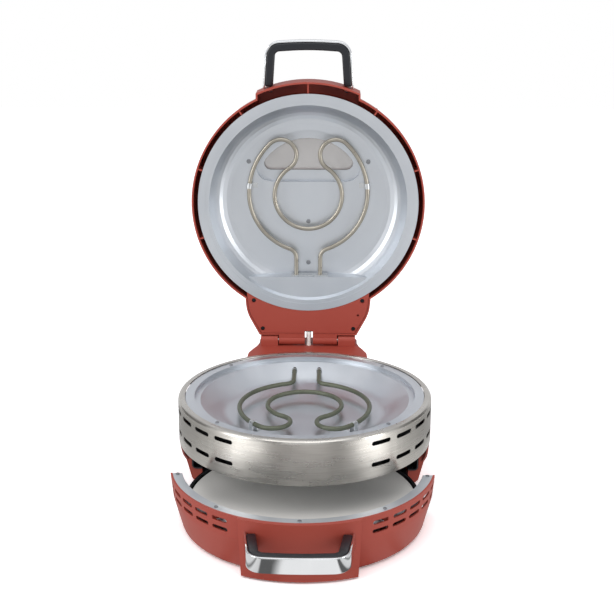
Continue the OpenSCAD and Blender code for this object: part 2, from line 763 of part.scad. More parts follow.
module hearth_reflector()
    color(aluminium)
        rotate_extrude()
            polygon([[0, reflector_z], [reflector_r - reflector_flange - 2 * reflector_h, reflector_z],
                     [reflector_r - reflector_flange, reflector_z + reflector_h],
                     [reflector_r, reflector_z + reflector_h], [reflector_r, reflector_z + reflector_h + pan_t],
                     [reflector_r - reflector_flange - pan_t / 2, reflector_z + reflector_h + pan_t],
                     [reflector_r - reflector_flange - 2 * reflector_h - pan_t / 2, reflector_z + pan_t],
                     [0, reflector_z + pan_t]]);
module slide_rails()
    color(steel)
        for (s = [-1, 1]) translate([s * rail_x, rail_back - rail_l, rail_z])
            translate([0, rail_l, 0]) rotate([90, 0, 0]) linear_extrude(rail_l)
                difference() {
                    translate([-rail_w / 2, 0]) square([rail_w, rail_h]);
                    translate([rail_t - rail_w / 2, rail_t]) square([rail_w - 2 * rail_t, rail_h - 2 * rail_t]);
                    translate([-runner_w / 2 - rail_play, rail_t]) square([runner_w + 2 * rail_play, rail_h]);
                }
module hearth_heater() color(olive) heater(hearth_heater_z, heater_shift, liner_r + 3 * band_roll);
module hearth_clips()
    color(zinc) clips(hearth_heater_z, heater_shift, hearth_heater_z - reflector_z - pan_t, front_share, 0);

// Steel ring, the black drum inside it, and the pan that the drum carries
lip_r = band_r - band_lip;
drum_top = flange_z - pan_t;
module steel_band()
    color(steel)
        difference() {
            rotate_extrude()
                difference() {
                    polygon(rounded([[lip_r, band_top], [lip_r, band_z], [band_r, band_z], [band_r, band_top]],
                                    [0, 0, 0, band_roll]));
                    polygon(rounded([[0, band_top - band_t], [0, band_z - overrun],
                                     [band_r - band_t, band_z - overrun], [band_r - band_t, band_top - band_t]],
                                    [0, 0, 0, band_roll - band_t]));
                }
            wall_slots(concat(slot_angles(band_slot_angle, band_pitch_angle, band_slot_n),
                              rear_angles(band_slot_angle, band_pitch_angle, band_slot_n)),
                       [band_z + band_slot_low, band_top - band_slot_high],
                       band_r, 6 * band_t, band_slot_l, band_slot_h);
            leg_holes(pan_heater_z, tube_r + pan_t, leg[1], 2 * band_r);
            leg_holes(ceiling_heater_z, tube_r + pan_t, leg[1], 2 * band_r);
        }
drum_foot_r = band_r - band_t - sheet;
drum_hole_r = bowl_lip_r;
module band_drum()
    color(black)
        difference() {
            union() {
                ring(drum_foot_r, drum_hole_r, band_z, sheet);
                ring(drum_r, drum_r - sheet, band_z, drum_top - band_z);
                ring(lip_r - pan_gap, seat_r + wall, drum_top - sheet, sheet);
            }
            leg_holes(pan_heater_z, tube_r + pan_t, leg[1], 2 * band_r);
            leg_holes(ceiling_heater_z, tube_r + pan_t, leg[1], 2 * band_r);
        }
function pan_side(drop) =
    rounded([[0, floor_z - drop], [pan_floor_r, floor_z - drop], [pan_bowl_r + drop / 2, seat_z - drop],
             [seat_r + drop, seat_z - drop], [seat_r + drop, flange_z]],
            [0, pan_blend + drop, 0, 0, 0]);
module upper_pan()
    color(aluminium)
        difference() {
            union() {
                rotate_extrude() polygon(concat(pan_side(pan_t), [[0, flange_z]]));
                ring(lip_r - pan_gap, seat_r, flange_z - pan_t, pan_t);
            }
            rotate_extrude()
                polygon(concat(pan_side(0), [[seat_r, flange_z + overrun], [0, flange_z + overrun]]));
            leg_holes(pan_heater_z, collar_r + clip_play, leg[1] + leg_bend_r, seat_r);
        }
pan_screw_out = 5;
pan_screw_r = seat_r + pan_screw_out;
module pan_screws()
    color(zinc)
        for (a = [45:90:315]) rotate([0, 0, a])
            translate([0, -pan_screw_r, flange_z]) screw(screw_r * 0.8, screw_h * 0.6);
heater_end_y = drum_r + 5 * band_roll;
module pan_heater() color(olive) heater(pan_heater_z, heater_shift, heater_end_y);
front_share = 0.17;
module pan_clips() color(zinc) clips(pan_heater_z, heater_shift, pan_heater_h - clip_play, front_share, 0);
collar_r = 3.9;
collar_l = 3;
collar_y = pan_floor_r + pan_slope * pan_heater_h / pan_bowl_h;
module pan_collars()
    color(zinc)
        for (s = [-1, 1]) translate([s * leg[0], collar_y, pan_heater_z]) rotate([-90, 0, 0])
            difference() {
                cylinder(h = collar_l, r = collar_r, center = true, $fn = 32);
                cylinder(h = 2 * collar_l, r = tube_r + clip_play, center = true, $fn = 32);
            }

// Ceiling of the lower hearth, a shallow dish hung in the drum, with its heater
dish_z = band_z + sheet;
dish_h = ceiling_heater_z + 2 * tube_r - dish_z + overrun;
dish_r = pan_bowl_r - tube_r;
dish_flange = 2 * band_lip;
module deck_ceiling()
    color(aluminium)
        difference() {
            rotate_extrude()
                polygon([[0, dish_z + dish_h], [dish_r - dish_h, dish_z + dish_h], [dish_r, dish_z],
                         [dish_r + dish_flange, dish_z], [dish_r + dish_flange, dish_z + pan_t],
                         [dish_r + pan_t, dish_z + pan_t], [dish_r - dish_h + pan_t, dish_z + dish_h + pan_t],
                         [0, dish_z + dish_h + pan_t]]);
            leg_holes(ceiling_heater_z, tube_r + pan_t, leg[1] + leg_bend_r, band_r);
        }
module ceiling_heater() color(olive) heater(ceiling_heater_z, heater_shift, heater_end_y);
module ceiling_clips()
    color(zinc) clips(ceiling_heater_z, heater_shift, dish_z + dish_h - ceiling_heater_z, front_share, 1);

// Rear tower
tower_tuck = 50;
tower_side_round = 24;
tower_back_round = 12;
function tower_half_outline(inset) = [
    [tower_front_half - inset, band_r - tower_tuck],
    [tower_front_half - tower_wall / 2 - inset, band_r],
    [tower_half + tower_flare / 2 - inset, hinge_y - hinge_back / 2],
    [tower_half + tower_wall - inset, hinge_y - barrel_r],
    [tower_half - inset, hinge_y + barrel_r],
    [tower_half - inset, tower_back_y - inset]
];
tower_rounds = [0, tower_side_round, tower_side_round, 0, 0, tower_back_round];
module tower_prism(inset, z, top)
    translate([0, 0, z]) linear_extrude(top - z)
        polygon(rounded(mirrored(tower_half_outline(inset)),
                        [for (i = [0:2 * len(tower_rounds) - 1])
                            max(0, tower_rounds[min(i, 2 * len(tower_rounds) - 1 - i)] - inset)]));
vent_back_half = tower_half - 5 * tower_wall;
back_low = gland_z + gland_r + 5 * tower_wall;
back_high = deck_z - 5 * tower_wall;
pad_top = hinge_z + tail_gap - stop_gap;
pad_y = hinge_y + barrel_r + tower_wall;
pad_depth = tower_back - barrel_r - 2 * tower_wall;
module knuckle(x0, x1)
    translate([x0, hinge_y, hinge_z]) {
        rotate([0, 90, 0]) cylinder(h = x1 - x0, r = barrel_r, $fn = 48);
        translate([0, -barrel_r, deck_z - hinge_z - tower_wall / 2])
            cube([x1 - x0, 2 * barrel_r, hinge_z - deck_z + tower_wall / 2]);
    }
module pin_bore(r)
    translate([-2 * base_barrel, hinge_y, hinge_z]) rotate([0, 90, 0])
        cylinder(h = 4 * base_barrel, r = r, $fn = 48);
module rear_tower()
    color(terracotta)
        difference() {
            union() {
                difference() {
                    tower_prism(0, bowl_z, deck_z);
                    tower_prism(tower_wall, -overrun, deck_z - tower_wall);
                }
                for (s = [-1, 1]) {
                    translate([s * stop_x - stop_half, pad_y, deck_z - tower_wall / 2])
                        cube([2 * stop_half, pad_depth, pad_top - deck_z + tower_wall / 2]);
                }
                knuckle(-base_barrel, -lid_barrel - barrel_gap);
                knuckle(lid_barrel + barrel_gap, base_barrel);
            }
            disc(band_r + part_gap / 2, band_z - part_gap / 2, 2 * band_h);
            rotate_extrude()
                polygon([[0, -overrun], [bowl_r - foot_in + part_gap / 2, -overrun],
                         [bowl_r - foot_in + part_gap / 2, bowl_z],
                         [bowl_r - knee_in + part_gap / 2, knee_z], [bowl_r + part_gap / 2, band_z],
                         [0, band_z]]);
            pin_bore(pin_r + pin_play);
            translate([-vent_back_half, tower_back_y - 2 * tower_wall, back_low])
                cube([2 * vent_back_half, 3 * tower_wall, back_high - back_low]);
            translate([0, tower_back_y, gland_z]) rotate([90, 0, 0])
                cylinder(h = 4 * tower_wall, r = gland_r + pin_play, center = true, $fn = 48);
            translate([cable_x, hinge_y, deck_z])
                cylinder(h = 4 * tower_wall, r = cable_r + pan_gap / 2, center = true, $fn = 32);
        }
cover_lap = 2 * tower_wall;
cover_half = vent_back_half + cover_lap;
cover_round = 2 * tower_wall;
vent_n = 6;
module tower_cover()
    color(terracotta)
        translate([0, tower_back_y + cover_t, 0]) rotate([90, 0, 0]) linear_extrude(cover_t)
            difference() {
                polygon(rounded([[-cover_half, back_low - cover_lap], [cover_half, back_low - cover_lap],
                                 [cover_half, back_high + cover_lap], [-cover_half, back_high + cover_lap]],
                                [for (i = [1:4]) cover_round]));
                for (s = [-1, 1], i = [0:vent_n - 1])
                    translate([s * vent_back_half / 2, back_low + (i + 1) * (back_high - back_low) / (vent_n + 1)])
                        stadium(band_slot_l, bowl_slot_h);
            }
module tower_cover_screws()
    color(black)
        for (x = [-1, 1] * (cover_half - cover_lap / 2), z = [back_low - cover_lap / 4, back_high + cover_lap / 4])
            translate([x, tower_back_y + cover_t, z]) rotate([-90, 0, 0]) screw(screw_r * 0.8);
module cord_gland()
    color(black)
        translate([0, tower_back_y, gland_z]) rotate([-90, 0, 0])
            difference() {
                union() {
                    translate([0, 0, -2.5 * tower_wall]) cylinder(h = 4 * tower_wall, r = gland_r, $fn = 48);
                    cylinder(h = tower_wall, r = gland_r + tower_wall, $fn = 48);
                    translate([0, 0, -2 * tower_wall]) cylinder(h = tower_wall, r = gland_r + tower_wall, $fn = 48);
                }
                cylinder(h = 10 * tower_wall, r = gland_hole_r, center = true, $fn = 48);
            }
block_w = tower_half;
block_d = 8 * tower_wall;
block_h = 6 * tower_wall;
module terminal_block()
    color(stone_white)
        difference() {
            translate([-block_w / 2, hinge_y - block_d, plate_z + plate_t]) cube([block_w, block_d, block_h]);
            for (i = [-2:2]) translate([i * block_w / 6, hinge_y - block_d / 2, plate_z + plate_t + block_h / 2])
                cylinder(h = block_h, r = tube_r, $fn = 24);
        }
module hinge_pins()
    color(steel) {
        reach = base_barrel - cable_x;
        translate([-base_barrel + overrun, hinge_y, hinge_z]) rotate([0, 90, 0])
            cylinder(h = base_barrel - overrun + cable_x - cable_slot - tower_wall, r = pin_r, $fn = 48);
        translate([cable_x + cable_slot + tower_wall, hinge_y, hinge_z]) rotate([0, 90, 0])
            cylinder(h = reach - overrun - cable_slot - tower_wall, r = pin_r, $fn = 48);
    }
cable_up = 2 * barrel_r;
module lid_cable()
    color(stone_white)
        translate([cable_x, hinge_y, deck_z - 2 * tower_wall])
            cylinder(h = hinge_z + cable_up - deck_z + 2 * tower_wall - overrun, r = cable_r, $fn = 32);

// Lid, drawn shut
function dome_side(inset) =
    rounded([[0, rim_z - (inset > 0 ? overrun : 0)], [lid_r - inset, rim_z - (inset > 0 ? overrun : 0)],
             [lid_r - inset, rim_z + lid_shoulder_h / 4],
             [lid_r - lid_shoulder_in - inset, rim_z + lid_shoulder_h - inset / 2],
             [crown_r, rim_z + lid_h - inset], [0, rim_z + lid_h - inset]],
            [0, 0, 0, shoulder_round - inset, crown_round, 0]);
module dome(inset) rotate_extrude() polygon(dome_side(inset));
tail_root = 38.2;
tail_step = 2.5;
tail_front_round = 15;
tail_front_y = lid_r - tail_root;
function tail_half_outline(inset) = [
    [tail_half - inset, tail_front_y - tail_root / 2],
    [tail_half - inset, tail_front_y],
    [tail_half - tail_step - inset, lid_r - tail_root / 6],
    [tail_end_half - inset, tail_end_y - inset]
];
tail_rounds = [0, tail_front_round, tail_side_round, 0];
module tail_plan(inset)
    polygon(rounded(mirrored(tail_half_outline(inset)), concat(tail_rounds, [for (i = [3:-1:0]) tail_rounds[i]])));
tail_round = barrel_r;
module tail(inset)
    intersection() {
        translate([0, 0, rim_z - (inset > 0 ? overrun : 0)]) linear_extrude(2 * lid_h) tail_plan(inset);
        side_prism(4 * tail_half,
                   rounded([[0, 0], [tail_end_y - inset, 0], [tail_end_y - inset, tail_top - inset],
                            [0, tail_top - inset]], [0, 0, tail_round, 0]));
    }
// Outline of an arch on a straight sill, grown all round
function arch_outline(r, y, sill, q, grow) =
    let (big = r + grow, low = sill - grow, small = q + grow, v = low + small - y,
         x = sqrt(pow(big - small, 2) - v * v), t = atan2(v, x), n = 12)
    concat([for (i = [0:4]) let (a = (t + 90) * i / 4 - 90) [x, low + small] + small * [cos(a), sin(a)]],
           [for (i = [1:n - 1]) [0, y] + big * [cos(t + (180 - 2 * t) * i / n), sin(t + (180 - 2 * t) * i / n)]],
           [for (i = [4:-1:0]) let (a = (t + 90) * i / 4 - 90) [-x, low + small] + small * [-cos(a), sin(a)]]);
module window_shape(grow) mirror([0, 1, 0]) polygon(arch_outline(arch_r, arch_y, sill_y, sill_round, grow));
module surround_shape(grow)
    mirror([0, 1, 0]) polygon(arch_outline(surround_r, surround_y, surround_sill, surround_round, grow));
glass_z = ceiling_z + surround_h + pan_t + gasket_t;
glass_top = glass_z + glass_t;
glass_play = 0.4;
boss_wall_r = 4;
rib_r = refl_r + pan_gap;
rib_angles = [for (i = [-rib_n / 2 + 2:rib_n / 2 - 2]) i * 360 / rib_n];
ceiling_screw_out = 3.6;
ceiling_screw_up = 31;
ceiling_screw_in = 17.2;
ceiling_screws = [for (s = [-1, 1]) [s * (surround_r + ceiling_screw_out), -surround_sill - ceiling_screw_up],
                  [0, surround_sill + wall], [0, ledge_y - ceiling_screw_in]];
tail_screw_in = 13.5;
tail_screw_front = 25.2;
tail_screw_side = 5;
tail_screw_end = 10;
tail_screws_at = [[tail_half - tail_screw_in, lid_r - tail_screw_front],
                  [tail_end_half - tail_screw_side, tail_end_y - tail_screw_end]];
cover_top = rim_z + cover_sink + cover_t;
knob_at = [knob_x, tail_end_y - knob_in];
knob_gap = 0.4;
module lid_shell()
    color(terracotta) on_lid()
        difference() {
            union() {
                difference() {
                    union() {
                        dome(0);
                        front_pad(boss_r, boss_half, rim_z, tail_top);
                        tail(0);
                    }
                    dome(wall);
                    front_pad(boss_r - wall, boss_half - wall, rim_z - overrun, tail_top - wall);
                    tail(wall);
                }
                for (a = rib_angles) rotate([0, 0, a])
                    translate([-rib_t / 2, a == 0 ? -boss_r + wall / 2 : -lid_r + wall / 2, rim_z + pan_t])
                        cube([rib_t, (a == 0 ? boss_r : lid_r) - wall / 2 - rib_r, rib_h]);
                for (p = ceiling_screws) translate([p[0], p[1], ceiling_z + pan_t])
                    cylinder(h = lid_h - refl_h - pan_t - wall / 2, r = boss_wall_r, $fn = 32);
                for (s = [-1, 1], p = tail_screws_at) translate([s * p[0], p[1], cover_top])
                    cylinder(h = tail_top - cover_top - wall / 2, r = 2 * wall, $fn = 32);
                handle_bosses(boss_r, lid_grip_z);
                translate([0, 0, glass_z]) linear_extrude(rim_z + lid_h - glass_z - wall / 2)
                    window_shape(glass_lap + glass_play + wall);
                translate([-lid_barrel, hinge_y, hinge_z]) rotate([0, 90, 0])
                    cylinder(h = 2 * lid_barrel, r = barrel_r, $fn = 48);
                translate([-lid_barrel, tail_end_y - wall / 2, hinge_z - barrel_r + pin_r / 2])
                    cube([2 * lid_barrel, tail_gap + wall / 2, 2 * barrel_r - pin_r]);
            }
            window_shaft();
            translate([0, 0, glass_z - overrun]) linear_extrude(glass_t + overrun)
                window_shape(glass_lap + glass_play);
            pin_bore(pin_r + pin_play);
            cable_sweep();
            for (s = [-1, 1]) translate([s * knob_at[0], knob_at[1], tail_top - wall / 2])
                cylinder(h = 2 * wall, r = bush_r + pin_play, center = true, $fn = 32);
            for (s = [-1, 1]) translate([s * lamp_x, knob_at[1], tail_top - wall / 2])
                cylinder(h = 2 * wall, r = lamp_r + pin_play, center = true, $fn = 32);
        }
module window_shaft() translate([0, 0, glass_z]) linear_extrude(2 * lid_h) window_shape(0);
module cable_sweep()
    translate([cable_x - cable_slot, hinge_y, hinge_z]) rotate([0, 90, 0])
        cylinder(h = 2 * cable_slot, r = cable_up + overrun, $fn = 48);
function reflector_side(t) =
    rounded([[0, rim_z - overrun], [refl_bowl_r + t, rim_z - overrun], [refl_bowl_r + t, flange_level],
             [refl_top_r + t, ceiling_z + t], [0, ceiling_z + t]],
            [0, 0, 0, refl_blend + t, 0]);
flange_level = rim_z + lid_gap;
module reflector_cavity(t)
    difference() {
        rotate_extrude() polygon(reflector_side(t));
        translate([-refl_r, ledge_y + t, rim_z + ledge_h + t]) cube([2 * refl_r, refl_r, 2 * refl_h]);
    }
module lid_reflector()
    color(aluminium) on_lid()
        difference() {
            union() {
                intersection() {
                    reflector_cavity(pan_t);
                    disc(refl_r, flange_level, refl_h + 2 * pan_t);
                }
                disc(refl_r, flange_level, pan_t);
                disc(refl_step_r, flange_level + refl_step, pan_t);
                translate([0, 0, ceiling_z]) linear_extrude(surround_h + pan_t) surround_shape(pan_t);
            }
            reflector_cavity(0);
            disc(refl_step_r - pan_t, rim_z, flange_level - rim_z + refl_step);
            translate([0, 0, rim_z + ledge_h]) linear_extrude(refl_h - ledge_h + surround_h) surround_shape(0);
            translate([0, 0, ceiling_z]) linear_extrude(lid_h) window_shape(0);
        }
module lid_heater() color(nickel) on_lid() heater(lid_heater_z, lid_heater_shift, ledge_y - plate_thick);
plate_thick = 1.5;
plate_shift = 2;
module terminal_plate()
    color(zinc) on_lid()
        translate([plate_shift - plate_w / 2, ledge_y - plate_thick, lid_heater_z - plate_h / 2])
            cube([plate_w, plate_thick, plate_h]);
side_share = 0.86;
module lid_clips() color(zinc) on_lid() clips(lid_heater_z, lid_heater_shift, lid_heater_drop, side_share, 1);
module reflector_screws()
    color(zinc) on_lid()
        for (p = ceiling_screws) translate([p[0], p[1], ceiling_z]) mirror([0, 0, 1]) screw();
module window_gasket()
    color(black) on_lid()
        translate([0, 0, glass_z - gasket_t]) linear_extrude(gasket_t)
            difference() {
                window_shape(glass_lap);
                window_shape(overrun);
            }
module window_glass()
    color("#8f8a84", 0.5) on_lid()
        translate([0, 0, glass_z]) linear_extrude(glass_t) window_shape(glass_lap);
cover_play = 0.5;
module tail_cover()
    color(terracotta) on_lid()
        difference() {
            translate([0, 0, rim_z + cover_sink]) linear_extrude(cover_t) tail_plan(wall + cover_play);
            disc(refl_r + glass_play, 0, 2 * rim_z);
            for (s = [-1, 1], p = tail_screws_at) translate([s * p[0], p[1], rim_z])
                cylinder(h = 4 * cover_t, r = screw_r, center = true, $fn = 32);
            translate([tail_end_half + plate_shift, lid_r - plate_shift, rim_z + cover_sink])
                cylinder(h = 4 * cover_t, r = screw_r / 2, center = true, $fn = 24);
            cable_sweep();
        }
module tail_screws()
    color(black) on_lid()
        for (s = [-1, 1], p = tail_screws_at) translate([s * p[0], p[1], cover_top])
            mirror([0, 0, 1]) screw(screw_r * 0.85);

// Controls on the tail, which faces the back when the lid stands open
bush_r = 4.5;
shaft_r = 3;
thermo_w = 30;
thermo_h = 18;
module thermostats()
    color(steel) on_lid()
        for (s = [-1, 1]) translate([s * knob_at[0], knob_at[1], tail_top - wall])
            difference() {
                union() {
                    translate([-thermo_w / 2, -thermo_w / 2, -thermo_h]) cube([thermo_w, thermo_w, thermo_h]);
                    cylinder(h = wall + knob_gap / 2, r = bush_r, $fn = 32);
                }
                translate([0, 0, -thermo_h / 2]) cylinder(h = 2 * thermo_h, r = shaft_r + pin_play, $fn = 32);
            }
module knob(x)
    translate([x, knob_at[1], tail_top + knob_gap])
        difference() {
            union() {
                cylinder(h = knob_h / 5, r = knob_r, $fn = 64);
                cylinder(h = knob_h, r1 = knob_r * 0.86, r2 = knob_r * 0.76, $fn = 64);
                translate([0, 0, -wall - thermo_h / 3]) cylinder(h = wall + thermo_h / 3 + overrun, r = shaft_r, $fn = 32);
            }
            translate([-rib_t / 4, -knob_r, knob_h - rib_t / 4]) cube([rib_t / 2, knob_r * 0.7, rib_t]);
        }
module upper_knob() color(black) on_lid() knob(-knob_x);
module lower_knob() color(black) on_lid() knob(knob_x);
module pilot_lamps()
    color("#c8442e") on_lid()
        for (s = [-1, 1]) translate([s * lamp_x, knob_at[1], tail_top - thermo_h / 2]) {
            cylinder(h = thermo_h / 2 + lamp_r / 3, r = lamp_r, $fn = 32);
            translate([0, 0, thermo_h / 2]) cylinder(h = lamp_r / 4, r = lamp_r + overrun, $fn = 32);
        }

// Handles
grip_bow_round = 500;
function grip_outline(face_r, reach, taper, inset, back) =
    let (y0 = -sqrt(face_r * face_r - grip_half * grip_half), y1 = -face_r - reach,
         x0 = grip_half - inset + taper * back / (y0 - y1 - inset), x1 = grip_half - taper - inset,
         q = max(overrun, grip_round - inset))
    rounded([[-x0, y0 + back], [-x1, y1 + inset], [0, y1 + inset - grip_bow], [x1, y1 + inset], [x0, y0 + back]],
            [0, q, grip_bow_round, q, 0]);
module grip_band(face_r, reach, taper, z, inset, thick)
    difference() {
        translate([0, 0, z - grip_h / 2]) linear_extrude(grip_h)
            difference() {
                polygon(grip_outline(face_r, reach, taper, inset, 0));
                polygon(grip_outline(face_r, reach, taper, inset + thick, overrun));
            }
        disc(face_r + clip_play, 0, 2 * rim_z);
    }
handle_screw_x = grip_half - strap_t - grip_t / 2;
handle_boss_h = 4;
module handle_bosses(face_r, z)
    for (s = [-1, 1]) rotate([0, 0, s * asin(handle_screw_x / face_r)])
        translate([0, -face_r + wall / 2, z]) rotate([-90, 0, 0])
            cylinder(h = wall / 2 + handle_boss_h, r = screw_r + rib_t / 2, $fn = 32);
module handle_screws(face_r, z)
    for (s = [-1, 1]) rotate([0, 0, s * asin(handle_screw_x / face_r)])
        translate([0, -face_r + wall + handle_boss_h, z]) rotate([-90, 0, 0]) screw();
lid_grip_z = rim_z + lid_grip_h;
module drawer_grip() color(black) on_drawer() grip_band(front_r, drawer_reach, drawer_grip_taper, drawer_grip_z, strap_t, grip_t);
module drawer_strap() color(chrome) on_drawer() grip_band(front_r, drawer_reach, drawer_grip_taper, drawer_grip_z, 0, strap_t);
module drawer_handle_screws() color(zinc) on_drawer() handle_screws(front_r, drawer_grip_z);
module lid_grip() color(black) on_lid() grip_band(boss_r, lid_reach, lid_grip_taper, lid_grip_z, strap_t, grip_t);
module lid_strap() color(chrome) on_lid() grip_band(boss_r, lid_reach, lid_grip_taper, lid_grip_z, 0, strap_t);
module lid_handle_screws() color(zinc) on_lid() handle_screws(boss_r, lid_grip_z);

base_plate();
feet();
rear_shell();
rear_liner();
hearth_reflector();
hearth_heater();
hearth_clips();
slide_rails();
rear_tower();
tower_cover();
tower_cover_screws();
cord_gland();
terminal_block();
hinge_pins();
lid_cable();
steel_band();
band_drum();
upper_pan();
pan_screws();
pan_heater();
pan_clips();
pan_collars();
deck_ceiling();
ceiling_heater();
ceiling_clips();
drawer_shell();
drawer_rim();
rim_screws();
stone_carrier();
drawer_runners();
pizza_stone();
drawer_grip();
drawer_strap();
drawer_handle_screws();
lid_shell();
lid_reflector();
lid_heater();
terminal_plate();
lid_clips();
reflector_screws();
window_glass();
window_gasket();
tail_cover();
tail_screws();
lid_grip();
lid_strap();
lid_handle_screws();
thermostats();
pilot_lamps();
upper_knob();
lower_knob();
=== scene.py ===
# Round two-deck pizza oven, lid open and drawer pulled out. Metres in the frame of the CAD model;
# sizes that a hand would measure are written in millimetres and multiplied by MM.
import math
import bmesh
import bpy
from mathutils import Matrix, Vector


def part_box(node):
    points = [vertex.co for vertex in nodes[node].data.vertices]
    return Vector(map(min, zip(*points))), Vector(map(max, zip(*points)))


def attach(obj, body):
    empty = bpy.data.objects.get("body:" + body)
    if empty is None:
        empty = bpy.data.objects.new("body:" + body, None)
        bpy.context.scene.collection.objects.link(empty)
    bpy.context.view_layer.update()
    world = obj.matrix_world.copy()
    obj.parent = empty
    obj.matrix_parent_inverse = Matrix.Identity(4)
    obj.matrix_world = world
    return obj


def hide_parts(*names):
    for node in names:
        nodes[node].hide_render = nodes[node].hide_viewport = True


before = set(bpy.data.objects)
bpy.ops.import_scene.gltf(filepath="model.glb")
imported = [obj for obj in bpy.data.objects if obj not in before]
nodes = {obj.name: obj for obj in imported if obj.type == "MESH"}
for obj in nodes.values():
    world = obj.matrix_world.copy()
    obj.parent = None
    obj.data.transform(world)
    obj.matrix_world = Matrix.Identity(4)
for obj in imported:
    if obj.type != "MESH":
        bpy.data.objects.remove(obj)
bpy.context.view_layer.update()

bpy.ops.object.select_all(action="DESELECT")

# Camera
# A long lens that looks down on the oven at 17 degrees, from a little right of its middle, as the
# photograph has it.
MM = 0.001
camera_lens, camera_sensor, camera_reach = 71.37, 36, 50
camera_target = Vector((3.1, 0, 263.5)) * MM
camera_azimuth, camera_elevation = math.radians(1.258), math.radians(16.798)
camera_distance = 1652.96 * MM
back = Vector((math.sin(camera_azimuth) * math.cos(camera_elevation),
               -math.cos(camera_azimuth) * math.cos(camera_elevation), math.sin(camera_elevation)))
bpy.ops.object.camera_add(location=camera_target + back * camera_distance)
camera = bpy.context.object
camera.name = "camera"
camera.rotation_euler = back.to_track_quat("Z", "Y").to_euler()
camera.data.sensor_width = camera_sensor
camera.data.lens = camera_lens
camera.data.clip_end = camera_reach
bpy.context.scene.camera = camera


# Studio
# A white table in a white room, under three large soft lamps. The table is white to the camera but for the
# oven's soft shadow. Shiny parts see painted reflections on it: to glossy rays the table glows in light and
# dark grey stripes set by bearing round the oven. They also see four grey cards, two in front and two at the
# sides.
bpy.context.scene.view_settings.view_transform = "Standard"


def hex_colour(code):
    parts = [int(code[i:i + 2], 16) / 255 for i in (1, 3, 5)]
    return tuple(p / 12.92 if p <= 0.04045 else ((p + 0.055) / 1.055) ** 2.4 for p in parts) + (1,)


def add(tree, kind, inputs=None, **settings):
    made = tree.nodes.new(kind)
    for name, value in settings.items():
        setattr(made, name, value)
    for socket, value in (inputs or {}).items():
        if isinstance(value, bpy.types.NodeSocket):
            tree.links.new(value, made.inputs[socket])
        else:
            made.inputs[socket].default_value = value
    return made


def new_material(name, **sockets):
    made = bpy.data.materials.new(name)
    made.use_nodes = True
    shader = made.node_tree.nodes["Principled BSDF"]
    for socket, value in sockets.items():
        shader.inputs[socket.replace("_", " ")].default_value = value
    return made, made.node_tree, shader


# Levels of grey set out by angle: a ramp over half a turn, where 0 is the front
def grey_ramp(tree, half_turn, stripes):
    ramp = add(tree, "ShaderNodeValToRGB", {0: half_turn})
    while len(ramp.color_ramp.elements) < len(stripes):
        ramp.color_ramp.elements.new(0.5)
    for element, (angle, level) in zip(ramp.color_ramp.elements, stripes):
        element.position = angle / 180
        element.color = (level, level, level, 1)
    return ramp.outputs[0]


table_size, table_top = 8, -0.0002
table_white, table_plain = 1.5, 0.88
stripes_turn = math.radians(5)
# Painted reflections: reflections of the handle travel less than the first length and see the handle's
# stripes, those of the band travel less than the second and see the band's
handle_far, band_far = 0.24, 0.6
band_painted_reflection_stripes = ((0, 0.45), (12, 0.26), (22, 0.16), (31, 0.4), (38, 0.8), (54, 0.9), (64, 0.45),
                (78, 0.24), (100, 0.16), (179, 0.2))
band_painted_reflection_glow = 2.5
handle_painted_reflection_stripes = ((0, 0.95), (9, 0.95), (11, 0.12), (16, 0.12), (18, 0.7), (25, 0.8), (28, 0.2),
                  (32, 0.75), (179, 0.85))
bpy.ops.mesh.primitive_plane_add(size=table_size, location=(0, 0, table_top))
floor = bpy.context.object
floor.name = "studio_floor"
table, tree, shader = new_material("matt_white_table", Roughness=0.9)
shader.inputs["Base Color"].default_value = hex_colour("#efefef")
rays = add(tree, "ShaderNodeLightPath")
ray_length = rays.outputs["Ray Length"]
bright = add(tree, "ShaderNodeBsdfDiffuse", {"Color": (table_white, table_white, table_white, 1)})
spot = add(tree, "ShaderNodeSeparateXYZ", {0: add(tree, "ShaderNodeTexCoord").outputs["Object"]})
toward = add(tree, "ShaderNodeMath", {0: spot.outputs[1], 1: -1.0}, operation="MULTIPLY")
bearing = add(tree, "ShaderNodeMath", {0: spot.outputs[0], 1: toward.outputs[0]}, operation="ARCTAN2")
turned = add(tree, "ShaderNodeMath", {0: bearing.outputs[0], 1: stripes_turn}, operation="SUBTRACT")
aside = add(tree, "ShaderNodeMath", {0: turned.outputs[0]}, operation="ABSOLUTE")
half_turn = add(tree, "ShaderNodeMath", {0: aside.outputs[0], 1: math.pi}, operation="DIVIDE").outputs[0]
# Painted reflection for the band: the table glows to glossy rays in grey stripes set by bearing
band_painted_reflection = add(tree, "ShaderNodeEmission", {"Color": grey_ramp(tree, half_turn, band_painted_reflection_stripes),
                                              "Strength": band_painted_reflection_glow})
close = add(tree, "ShaderNodeMath", {0: ray_length, 1: handle_far}, operation="LESS_THAN")
# Painted reflection for the handles: short glossy rays see glowing grey stripes by bearing, the rest see a
# plain grey glow
painted_reflection_colour = add(tree, "ShaderNodeMix", {0: close.outputs[0], 6: (table_plain, table_plain, table_plain, 1),
                                           7: grey_ramp(tree, half_turn, handle_painted_reflection_stripes)}, data_type="RGBA")
painted_reflection_glow = add(tree, "ShaderNodeEmission", {"Color": painted_reflection_colour.outputs[2]})
above = add(tree, "ShaderNodeMath", {0: ray_length, 1: handle_far}, operation="GREATER_THAN")
below = add(tree, "ShaderNodeMath", {0: ray_length, 1: band_far}, operation="LESS_THAN")
at_band = add(tree, "ShaderNodeMath", {0: above.outputs[0], 1: below.outputs[0]}, operation="MULTIPLY")
table_seen = add(tree, "ShaderNodeMixShader", {0: at_band.outputs[0], 1: painted_reflection_glow.outputs[0],
                                               2: band_painted_reflection.outputs[0]})
mirrored = add(tree, "ShaderNodeMixShader", {0: rays.outputs["Is Glossy Ray"], 1: shader.outputs[0],
                                             2: table_seen.outputs[0]})
